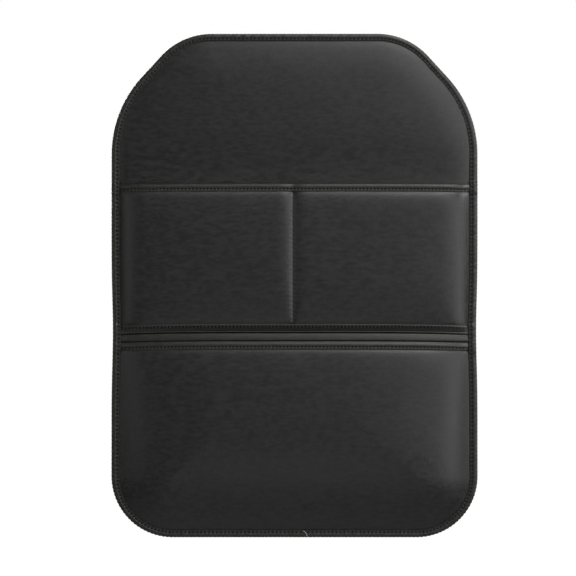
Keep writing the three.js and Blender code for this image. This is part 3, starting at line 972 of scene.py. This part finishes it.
edge_pitch = 4.9
edge_stitch_inset = 6.9
side_tape_width = 10.3
top_tape_width = 8.9
bottom_tape_width = 9.3
inner_fall = 0.1
edge_fold_reach = 0.9
tuck = 0.4
step_run = 4.6
scallop = 0.1
corner_scallop = 0.3
scallop_reach = 3.0
corner_blend = 20.0
tape_waver = 0.5
tape_uneven = 0.35
lap_x = 16.6
lap_rise = 0.5
lap_run = 9.0


def closed_rim(count):
    """The whole rim at equal steps, clockwise seen from the front, from the top's middle."""
    right = half_outline()
    left = right[::-1] * (-1, 1)
    start = np.array([[0.0, top_z]])
    return evenly(np.concatenate([start, right, left, start]), count + 1)[:-1]


def eased(levels, z):
    """Reads height and depth pairs, from the top down, with a smooth step between them."""
    heights, depths = np.array(levels[::-1]).T
    k = np.clip(np.searchsorted(heights, z) - 1, 0, len(heights) - 2)
    t = ramp(z - heights[k], heights[k + 1] - heights[k])
    return depths[k] + (depths[k + 1] - depths[k]) * t * t * (3 - 2 * t)


flat_level = face_front + lay_gap
one_sheet = flat_level + flange_thickness + lay_gap
bound_stack = 2 * flange_tape_thickness + flange_bound_thickness + 3 * lay_gap
side_mouth, side_hem = mouth_z - mouth_drop, hem_z - hem_drop
side_front_mouth = front_mouth_z - lower_mouth_drop
front_levels = [
    (side_mouth + step_run, flat_level),
    (side_mouth + tuck, flat_level + bound_stack),
    (side_mouth - pocket_tape_width - tuck, flat_level + bound_stack),
    (side_mouth - pocket_tape_width - step_run, one_sheet),
    (side_hem + pocket_tape_width + step_run, one_sheet),
    (side_hem + pocket_tape_width + tuck, flat_level + bound_stack),
    (side_front_mouth + 1.1, flat_level + bound_stack),
    (side_front_mouth + 0.2, one_sheet + bound_stack),
    (side_front_mouth - pocket_tape_width - tuck, one_sheet + bound_stack),
    (side_front_mouth - pocket_tape_width - step_run, one_sheet + flange_thickness + lay_gap),
]
seat_strap_z = top_z - 500
seat_strap_half = 19.0
strap_thickness = 1.6
strapped = -2 * lay_gap - strap_thickness
rear_levels = [
    (seat_strap_z + seat_strap_half + step_run, -lay_gap),
    (seat_strap_z + seat_strap_half + tuck, strapped),
    (seat_strap_z - seat_strap_half - tuck, strapped),
    (seat_strap_z - seat_strap_half - step_run, -lay_gap),
]


def rim_length():
    """Length of the whole rim."""
    rim = closed_rim(2000)
    return np.sum(np.linalg.norm(np.roll(rim, -1, axis=0) - rim, axis=1))


edge_stitches = int(round(rim_length() / edge_pitch))
rim = closed_rim(edge_stitches * steps_per_stitch)
rim_along = np.arange(len(rim)) * rim_length() / len(rim)
rim_pitch = rim_length() / edge_stitches
rim_ahead = np.roll(rim, -1, axis=0) - np.roll(rim, 1, axis=0)
rim_ahead /= np.linalg.norm(rim_ahead, axis=1, keepdims=True)
rim_in = np.stack([rim_ahead[:, 1], -rim_ahead[:, 0]], 1)
rim_x, rim_z = rim.T
in_corner = ramp(corner_z - rim_z, corner_blend)
in_corner *= ramp(np.abs(rim_x) - corner_x + corner_blend / 2, corner_blend)
rim_scallop = scallop + (corner_scallop - scallop) * in_corner
rim_scallop *= np.cos(2 * np.pi * rim_along / rim_pitch)
near_top = ramp(rim_z - top_z + shoulder_radius, shoulder_radius)
near_bottom = ramp(corner_z - rim_z, corner_radius)
rim_width = side_tape_width + (top_tape_width - side_tape_width) * near_top
rim_width += (bottom_tape_width - side_tape_width) * near_bottom
rim_waver = tape_waver * ripple(rim_x, rim_z, length=16, seed=41)
rim_uneven = tape_uneven * ripple(rim_x, rim_z, length=8, seed=43)
past_lap = (rim_x - lap_x) * np.where(rim_z < bottom_z + 10, 1, np.nan)
rim_lap = np.nan_to_num(lap_rise * np.exp(-np.abs(past_lap) / lap_run) * (past_lap > 0))
rim_front = eased(front_levels, rim_z) + rim_uneven + rim_lap
rim_rear = eased(rear_levels, rim_z)


def rim_place(offset, depth):
    """A point in from the rim by an offset, drawn in a little more at each stitch. Offsets are
    for the side tape's width, and shrink with the tape along the top and bottom."""
    reach = offset * (rim_width + rim_waver) / side_tape_width
    reach = reach + (rim_scallop + scallop) * np.exp(-offset / scallop_reach)
    return raised(rim_x + reach * rim_in[:, 0], rim_z + reach * rim_in[:, 1], depth)


# The second result is the edge tape's mask of painted shade in its holes and creases.
edge_loops, edge_painted_shade = tape_loops(
    lambda offset: rim_front,
    lambda offset: rim_rear,
    rim_place,
    rim_along,
    side_tape_width,
    edge_stitch_inset,
    rim_pitch,
    np.full(len(rim), tape_thickness),
    fall=inner_fall,
    fold=edge_fold_reach,
)
edge_tape = sweep("edge_tape", edge_loops, edge_painted_shade, closed=True)
dress(edge_tape, tape_leather, "binding_leather", "edge_binding")
declare_tape(edge_tape, edge_loops, rim_length(), "face_panel", "rear_lining")


# Stitching
# Black thread in short straight stitches that dip into the leather at both
# ends: round the edge tape on both sides, along three pocket tapes, and down the
# centre seam, with a tack at its top. One pale thread end hangs at the bottom.

thread_radius = 0.4
seam_thread_radius = 0.3
seam_sink = 0.3
tack_lift = 0.15
stitch_rings = 5
stitch_sides = 6


def stitches(name, holes, facing, radius=thread_radius, sink=0.25, lift=0.3):
    """Threads between following needle holes: each is a tapered tube that rises from one hole and
    dips into the next. facing is the outward normal at each hole."""
    start, end = holes[:-1], holes[1:]
    up = facing[:-1] + facing[1:]
    up /= np.linalg.norm(up, axis=1, keepdims=True)
    ahead = end - start
    ahead /= np.linalg.norm(ahead, axis=1, keepdims=True)
    across = np.cross(ahead, up)
    share = np.linspace(0, 1, stitch_rings + 2)
    arch = np.sin(np.pi * share) ** 0.6
    middle = start[:, None] + (end - start)[:, None] * (0.14 + 0.72 * share[:, None])
    middle = middle + up[:, None] * ((lift + sink) * arch - sink)[:, None]
    angle = np.linspace(0, 2 * np.pi, stitch_sides, endpoint=False)
    wide = radius * np.sin(np.pi * share[1:-1]) ** 0.35
    side = across[:, None, None] * np.cos(angle)[:, None]
    side = side + up[:, None, None] * np.sin(angle)[:, None]
    rings = middle[:, 1:-1, None] + wide[:, None, None] * side
    points = np.concatenate([middle[:, :1], rings.reshape(len(start), -1, 3), middle[:, -1:]], 1)
    ring = 1 + np.arange(stitch_rings * stitch_sides).reshape(stitch_rings, stitch_sides)
    ring_next = np.roll(ring, -1, axis=1)
    tube = np.stack([ring[:-1], ring_next[:-1], ring_next[1:], ring[1:]], -1).reshape(-1, 4)
    last = stitch_rings * stitch_sides + 1
    first_fan = np.stack([np.zeros_like(ring[0]), ring_next[0], ring[0]], 1)
    last_fan = np.stack([np.full_like(ring[0], last), ring[-1], ring_next[-1]], 1)
    shift = (np.arange(len(start)) * (last + 1))[:, None, None]
    quads = (tube[None] + shift).reshape(-1, 4)
    fans = (np.concatenate([first_fan, last_fan])[None] + shift).reshape(-1, 3)
    piece = write_mesh(name, points.reshape(-1, 3), [quads, fans])
    return turn_outwards(piece)


def thread_material(name, dark, light, roughness):
    """Twisted thread: fine slanted ridges as bump, and a slight change of colour."""
    material, tree, surface, place = new_material(name)
    settings = {"bands_direction": "DIAGONAL"}
    twist = node(tree, "ShaderNodeTexWave", settings, Vector=place, Scale=900.0).outputs["Fac"]
    coat(tree, surface, shade_between(tree, twist, dark, light), roughness, twist, 0.5, 0.0001)
    return material


black_thread = thread_material("black_thread", (0.014, 0.014, 0.013), (0.026, 0.026, 0.024), 0.6)
forwards = np.array([0.0, -1.0, 0.0])


def stitch_row(name, holes, direction=forwards, **thread):
    """Black stitches in a line of holes that all face one way."""
    threads = stitches(name, holes, np.repeat(direction[None], len(holes), 0), **thread)
    dress(threads, black_thread, "sewing_thread")


def edge_row(name, depth, direction):
    """Stitches round the edge tape, in the holes at every stitch step."""
    holes = rim_place(edge_stitch_inset, depth)[::steps_per_stitch]
    stitch_row(name, np.concatenate([holes, holes[:1]]), direction)


edge_row("edge_stitches_front", rim_front + tape_thickness - stitch_dip, forwards)
edge_row("edge_stitches_back", rim_rear - tape_thickness + 0.1, -forwards)


def tape_row(name, front, line, towards):
    """Stitches along a pocket's tape, from one edge tape to the other."""
    reach, count = tape_span(line)
    across = np.linspace(-reach, reach, count + 1)[2:-2]
    z = line(across) + towards * stitch_inset
    stitch_row(name, raised(across, z, front(across, z) + tape_thickness - stitch_dip))


tape_row("upper_mouth_stitches", upper_front_flat, mouth_line, -1)
tape_row("upper_hem_stitches", upper_front_flat, hem_line, 1)
tape_row("front_mouth_stitches", front_pocket_front, front_mouth_line, -1)

seam_z = np.arange(mouth_z - pocket_tape_width, hem_z + pocket_tape_width, -seam_pitch)
seam_holes_x = seam_x + seam_wander * np.sin(2 * np.pi * seam_z / seam_pitch)
seam_holes = raised(seam_holes_x, seam_z, upper_front(seam_holes_x, seam_z) - seam_sink)
stitch_row("seam_stitches", seam_holes, radius=seam_thread_radius)


def thread_run(name, path, material):
    """A thread along a path of points: an eight-sided ring at each, set square to the path in the
    panel's plane, with its ends drawn to a point."""
    ahead = np.gradient(path, axis=0)
    ahead /= np.linalg.norm(ahead, axis=1, keepdims=True)
    across = np.cross(ahead, forwards)
    across /= np.linalg.norm(across, axis=1, keepdims=True)
    up = np.cross(across, ahead)
    turn = np.linspace(0, 2 * np.pi, 8, endpoint=False)
    ring = across[:, None] * np.cos(turn)[:, None] + up[:, None] * np.sin(turn)[:, None]
    order = np.arange(len(path))
    slim = thread_radius * np.minimum(1, 0.25 + np.minimum(order, order[::-1]) / 2)
    loops = path[:, None] + slim[:, None, None] * ring
    piece = sweep(name, loops, np.zeros(loops.shape[:2]), closed=False)
    return dress(piece, material, "sewing_thread")


def smooth_path(points, count):
    """Points on a smooth line through a few given ones, each coordinate a cubic in their order."""
    order = np.arange(len(points))
    at = np.linspace(0, order[-1], count)
    power = min(3, len(points) - 1)
    return np.stack([np.polyval(np.polyfit(order, points[:, k], power), at) for k in range(3)], 1)


tack_half = 2.4
tack_top, tack_foot = 1.6, 7.6
for side_name, tack_side in (("left", -1), ("right", 1)):
    tack_x = seam_x + tack_side * np.array([tack_half, 0.6 * tack_half, 0.15 * tack_half])
    tack_z = mouth_line(tack_x) - np.array([tack_top, (tack_top + tack_foot) / 2, tack_foot])
    tack_depth = upper_front_flat(tack_x, tack_z) + tape_thickness + tack_lift
    tack_path = smooth_path(raised(tack_x, tack_z, tack_depth), 12)
    thread_run(f"mouth_tack_{side_name}", tack_path, black_thread)

loose_thread = thread_material("pale_thread", (0.3, 0.28, 0.25), (0.5, 0.47, 0.43), 0.7)
end_x = np.array([10.3, 12.6, 14.8, 15.2, 15.6])
end_rise = np.array([8.3, 6.9, 4.3, 2.2, -0.2])
end_depth = rim_front[np.argmin(np.abs(rim_x) + 1000 * (rim_z > corner_z))] + tape_thickness
end_depth = end_depth + np.array([0.2, 1.0, 1.1, 0.9, 0.2])
end_path = smooth_path(raised(end_x, bottom_z + end_rise, end_depth), 16)
thread_run("loose_thread_end", end_path, loose_thread)


# Straps
# Black webbing. The headrest strap's halves are sewn to the lining by a folded
# end, the seat strap's halves run in under the edge tape, and each pair closes
# with hook and loop at its middle.

strap_stand = 6.2
closure_thickness = 0.9
closure_length = 90.0
closure_margin = 5.0
pull_tail = 20.0
headrest_strap_width = 30.0
headrest_anchor_x = 150.0
anchor_fold = 22.0
seat_strap_width = 38.0
strap_ramp = 16.0
near_level = -lay_gap - strap_thickness / 2
fold_level = near_level - strap_thickness - lay_gap
far_level = strap_thickness / 2 - strap_stand
overlap = closure_length / 2 + closure_margin


def ribbon(name, route, thickness, width, middle_z, step=2.0):
    """A flat strip that follows a route of x and depth points, with rounded long edges: at each
    step a section of ten points round an oblong."""
    route = np.array(route, float)
    count = max(8, int(np.sum(np.linalg.norm(np.diff(route, axis=0), axis=1)) / step))
    route = evenly(route, count)
    ahead = np.gradient(route, axis=0)
    ahead /= np.linalg.norm(ahead, axis=1, keepdims=True)
    out = np.stack([-ahead[:, 1], ahead[:, 0]], 1)
    turn = np.linspace(-np.pi / 2, np.pi / 2, 5)
    half = width / 2 - thickness / 2
    right = [(half + thickness / 2 * np.cos(a), thickness / 2 * np.sin(a)) for a in turn]
    inner = [(share * half, thickness / 2) for share in (0.6, 0.2, -0.2, -0.6)]
    section = right + inner + [(-z, -d) for z, d in right + inner]
    loops = []
    for z, d in section:
        loops.append(raised(route[:, 0] + d * out[:, 0], middle_z + z, route[:, 1] + d * out[:, 1]))
    loops = np.stack(loops, 1)
    return sweep(name, loops, np.zeros(loops.shape[:2]), closed=False)


def anchored_end(side):
    """Route of a folded end: its tail on the lining, a tight turn, and back over the tail."""
    radius = (strap_thickness + lay_gap) / 2
    turn_x = headrest_anchor_x - radius - strap_thickness / 2
    middle = (near_level + fold_level) / 2
    turn = np.linspace(-np.pi / 2, np.pi / 2, 9)
    bend = [(side * (turn_x + radius * np.cos(a)), middle - radius * np.sin(a)) for a in turn]
    tail = (side * (turn_x - anchor_fold), near_level)
    over = (side * (turn_x - anchor_fold - 1), fold_level)
    down = (side * (turn_x - anchor_fold - 1 - strap_ramp / 2), near_level)
    return [tail, *bend, over, down]


def near_run(side):
    """The rest of the half that lies on the lining, to beyond the closure."""
    return [(-side * overlap, near_level)]


def far_run(side):
    """The rest of the half that climbs over the other and ends in a tail to pull."""
    rise = [(side * (overlap + strap_ramp), near_level), (side * overlap, far_level)]
    return [*rise, (-side * (overlap + pull_tail), far_level)]


def route_length(route):
    """Length of a route."""
    return np.sum(np.linalg.norm(np.diff(np.array(route, float), axis=0), axis=1))


strap_webbing = cloth_material(
    "strap_webbing", (0.011, 0.011, 0.012), (0.019, 0.019, 0.02), 520.0, 0.8, 0.9, 0.2
)
seat_end = half_width - lining_inset
strap_routes = {
    "headrest_strap_left": (anchored_end(-1) + near_run(-1), headrest_strap_width, 0.0),
    "headrest_strap_right": (anchored_end(1) + far_run(1), headrest_strap_width, 0.0),
    "seat_strap_left": ([(-seat_end, near_level)] + near_run(-1), seat_strap_width, seat_strap_z),
    "seat_strap_right": ([(seat_end, near_level)] + far_run(1), seat_strap_width, seat_strap_z),
}
for strap_name, (route, width, middle_z) in strap_routes.items():
    strap = ribbon(strap_name + "_webbing", route, strap_thickness, width, middle_z)
    dress(strap, strap_webbing, "webbing", strap_name)
    flat = (width * mm, route_length(route) * mm)


# Hook and loop
# Two strips in each strap's overlap: the loop strip sewn to the half that lies on
# the lining, and the hook strip sewn to the half that closes over it.

closure_pile = cloth_material(
    "closure_pile", (0.008, 0.008, 0.009), (0.016, 0.016, 0.017), 1300.0, 1.0, 1.0, 0.3
)
for strap_name, width, middle_z in (
    ("headrest", headrest_strap_width - 2, 0.0),
    ("seat", seat_strap_width - 2, seat_strap_z),
):
    for order, kind in enumerate(("loop", "hook")):
        level = near_level - strap_thickness / 2 - lay_gap - closure_thickness / 2
        level -= order * (closure_thickness + lay_gap)
        route = [(-closure_length / 2, level), (closure_length / 2, level)]
        strip = ribbon(f"{strap_name}_{kind}_strip", route, closure_thickness, width, middle_z)
        dress(strip, closure_pile, "closure_tape", f"{strap_name}_{kind}_tape")
        flat = (width * mm, closure_length * mm)


# Studio
# A pale floor under the hanging panel, a white surround for the camera, soft
# lamps, and a long lens straight in front.

photo_size = 576
photo_pitch = 1.2326
object_centre_px = (294.5, 285.5)
camera_distance = 3000.0
sensor_width = 36.0
floor_drop = 600.0
floor_half = 6.0
floor_glow = 0.93
surround_low = 0.0
surround_high = 0.225
surround_back = 0.01
gloss_share = 0.03


def make_camera():
    """Looks along +Y from where the panel's middle falls on the photo's pixel for it."""
    camera = bpy.data.objects.new("camera", bpy.data.cameras.new("camera"))
    bpy.context.scene.collection.objects.link(camera)
    half = photo_size / 2
    x = (half - object_centre_px[0]) * photo_pitch
    z = top_z - panel_height / 2 + (object_centre_px[1] - half) * photo_pitch
    camera.location = (x * mm, (back_y - camera_distance) * mm, z * mm)
    camera.rotation_euler = (np.pi / 2, 0, 0)
    camera.data.sensor_width = sensor_width
    camera.data.lens = sensor_width * camera_distance / (photo_size * photo_pitch)
    bpy.context.scene.camera = camera


def white_share(tree):
    """1 to the camera and behind clear things, and a small share to gloss."""
    path = tree.nodes.new("ShaderNodeLightPath").outputs
    seen = maths(tree, "MAXIMUM", path["Is Camera Ray"], path["Is Transmission Ray"])
    return maths(tree, "MULTIPLY_ADD", path["Is Glossy Ray"], gloss_share, seen, clamp=True)


def blend(tree, plain, white, output, socket):
    """Mixes a plain shader with a white one by white_share, and shows the mix."""
    choice = tree.nodes.new("ShaderNodeMixShader")
    for shader, end in zip((white_share(tree), plain, white), choice.inputs):
        feed(tree, shader, end)
    feed(tree, choice.outputs[0], tree.nodes[output].inputs[socket])


def make_floor():
    """A wide pale floor, whitened by an even glow, so that only its shadow shows."""
    z = (bottom_z - floor_drop) * mm
    corners = [(x * floor_half, y * floor_half, z) for x, y in ((-1, -1), (1, -1), (1, 1), (-1, 1))]
    mesh = bpy.data.meshes.new("floor")
    mesh.from_pydata(corners, [], [(0, 1, 2, 3)])
    floor = bpy.data.objects.new("floor", mesh)
    bpy.context.scene.collection.objects.link(floor)
    material, tree, surface, _ = new_material("floor_paper")
    surface.inputs["Base Color"].default_value = (0.8, 0.8, 0.8, 1)
    surface.inputs["Roughness"].default_value = 0.9
    glow = node(tree, "ShaderNodeEmission", Color=(1, 1, 1, 1), Strength=floor_glow)
    both = tree.nodes.new("ShaderNodeAddShader")
    feed(tree, surface.outputs[0], both.inputs[0])
    feed(tree, glow.outputs[0], both.inputs[1])
    blend(tree, surface.outputs[0], both.outputs[0], "Material Output", "Surface")
    mesh.materials.append(material)


def make_world():
    """White to the camera and behind clear things. As light it is a dim grey that comes from above
    and in front of the panel, and hardly from below or behind it. Gloss sees a small share of the
    white, because black leather would turn grey under all of it."""
    world = bpy.data.worlds.new("surround")
    bpy.context.scene.world = world
    world.use_nodes = True
    tree = world.node_tree
    towards = tree.nodes.new("ShaderNodeTexCoord").outputs["Generated"]
    split = node(tree, "ShaderNodeSeparateXYZ", Vector=towards)
    upwards = {"From_Min": -0.3, "From_Max": 0.3, "To_Min": surround_low, "To_Max": surround_high}
    ahead = node(tree, "ShaderNodeMapRange", Value=split.outputs["Z"], **upwards).outputs[0]
    backwards = {"From_Min": -0.1, "From_Max": 0.4, "To_Min": ahead, "To_Max": surround_back}
    around = node(tree, "ShaderNodeMapRange", Value=split.outputs["Y"], **backwards).outputs[0]
    light = tree.nodes["Background"]
    light.inputs["Color"].default_value = (1, 1, 1, 1)
    feed(tree, around, light.inputs["Strength"])
    white = node(tree, "ShaderNodeBackground", Color=(1, 1, 1, 1), Strength=1.0)
    blend(tree, light.outputs[0], white.outputs[0], "World Output", "Surface")


def make_lamp(name, place, size, power):
    """A square soft lamp at a place in metres, turned towards the panel's middle. Its light keeps
    to a narrow cone, so that the floor gets next to none of it."""
    lamp = bpy.data.objects.new(name, bpy.data.lights.new(name, "AREA"))
    bpy.context.scene.collection.objects.link(lamp)
    lamp.data.size = size
    lamp.data.energy = power
    lamp.data.spread = np.radians(lamp_spread)
    lamp.location = place
    away = Vector(panel_middle) - Vector(place)
    lamp.rotation_euler = away.to_track_quat("-Z", "Y").to_euler()


panel_middle = (0, 0, -0.262)
lamp_spread = 70
lamps = {
    "high_lamp": ((0.48, -1.57, 0.89), 0.85, 1.07),
    "top_lamp": ((0.49, -1.05, 1.12), 0.6, 1.34),
    "front_lamp": ((0.86, -1.76, 0.15), 0.85, 0.85),
    "side_lamp": ((1.38, -0.56, 0.34), 0.6, 1.7),
    "low_side_lamp": ((1.48, -1.33, -0.44), 0.7, 0.85),
    "left_lamp": ((-1.53, -1.28, -0.09), 0.9, 0.36),
    "low_lamp": ((0.0, -1.73, -1.26), 0.8, 0.57),
    "back_lamp": ((-0.7, 2.3, 0.5), 1.2, 8.0),
}
make_camera()
make_floor()
make_world()
for lamp_name, lamp in lamps.items():
    make_lamp(lamp_name, *lamp)
bpy.context.scene.view_settings.view_transform = "Standard"
